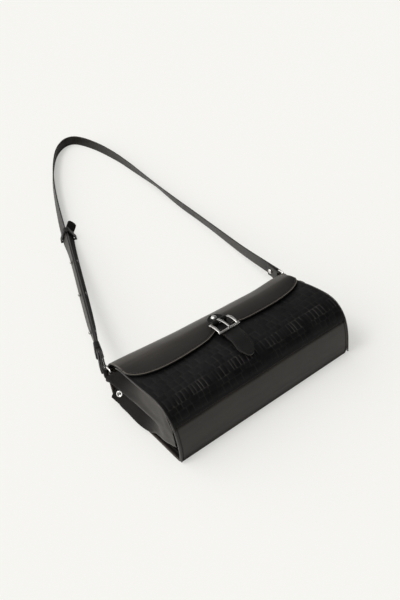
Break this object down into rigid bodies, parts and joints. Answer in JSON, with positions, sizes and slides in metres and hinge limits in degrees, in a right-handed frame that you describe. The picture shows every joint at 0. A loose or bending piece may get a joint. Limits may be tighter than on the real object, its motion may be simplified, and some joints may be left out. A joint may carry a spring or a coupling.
{
  "type": "crossbody bag",
  "caption": "Box-shaped leather crossbody bag with a scalloped flap, buckled tab closure and long shoulder strap, lying on its back.",
  "frame": {"origin": "centre of the back panel's outer face, on the surface the bag lies on", "axes": "+X along the bag's length towards its right end, +Y towards its top edge and the strap, +Z out through the front"},
  "size_m": [0.3377, 0.767, 0.0799],
  "materials": {
    "smooth_leather": "smooth satin, dyed black",
    "embossed_leather": "embossed with reptile tiles, semi-gloss",
    "strap_leather": "smooth satin, painted edges",
    "lining_cloth": "woven cloth",
    "board": "fibre board",
    "nickel": "polished",
    "magnet_metal": "plated"
  },
  "bodies": {
    "bag": {"back_panel": "smooth_leather", "bottom_panel": "smooth_leather", "front_panel": "embossed_leather", "bottom_board": "board", "lining": "lining_cloth", "inner_pocket": "lining_cloth", "gusset_left": "smooth_leather", "gusset_right": "smooth_leather", "gusset_snap_left": "nickel", "gusset_snap_right": "nickel", "magnet_panel_half": "magnet_metal"},
    "flap_top_part": {"flap_top": "smooth_leather"},
    "flap_leaf_part": {"flap_leaf": "smooth_leather", "flap_lining": "lining_cloth", "closure_strip": "smooth_leather", "buckle_chape": "smooth_leather", "closure_rivet": "nickel"},
    "buckle": {"buckle_frame": "nickel"},
    "prong": {"buckle_prong": "nickel"},
    "tab": {"closure_tab": "smooth_leather", "magnet_tab_half": "magnet_metal"},
    "strap": {"ring_tab_left": "smooth_leather", "ring_tab_right": "smooth_leather", "ring_left": "nickel", "ring_right": "nickel", "adjuster_strap": "strap_leather", "shoulder_strap": "strap_leather", "adjuster_stud_1": "nickel", "adjuster_stud_2": "nickel", "adjuster_stud_3": "nickel", "strap_end_stud": "nickel"},
    "lower_keeper": {"keeper_lower": "strap_leather"},
    "upper_keeper": {"keeper_upper": "strap_leather"}
  },
  "joints": [
    {"name": "flap_top_lean", "type": "hinge", "parent": "bag", "child": "flap_top_part", "pos_m": [0, 0.06908, 0], "axis": [-1, 0, 0], "range_deg": [0, 4]},
    {"name": "flap_leaf_fold", "type": "hinge", "parent": "flap_top_part", "child": "flap_leaf_part", "pos_m": [0, 0.04998, 0.06014], "axis": [-1, 0, 0], "range_deg": [0, 150]},
    {"name": "buckle_tilt", "type": "hinge", "parent": "flap_leaf_part", "child": "buckle", "pos_m": [0, 0.01364, 0.07472], "axis": [-1, 0, 0], "range_deg": [0, 60]},
    {"name": "prong_swing", "type": "hinge", "parent": "buckle", "child": "prong", "pos_m": [0, 0.01364, 0.07472], "axis": [-1, 0, 0], "range_deg": [0, 60]},
    {"name": "tab_lift", "type": "hinge", "parent": "flap_leaf_part", "child": "tab", "pos_m": [0, -0.00971, 0.07455], "axis": [-1, 0, 0], "range_deg": [0, 60]},
    {"name": "strap_swing", "type": "hinge", "parent": "bag", "child": "strap", "pos_m": [0, 0.056, 0.048], "axis": [1, 0, 0], "range_deg": [0, 90]},
    {"name": "keeper_upper_slide", "type": "slide", "parent": "strap", "child": "upper_keeper", "axis": [0.3784, 0.9195, -0.1063], "range_m": [-0.02, 0.008]},
    {"name": "keeper_lower_slide", "type": "slide", "parent": "strap", "child": "lower_keeper", "axis": [0.3784, 0.9195, -0.1063], "range_m": [0, 0.025]}
  ]
}
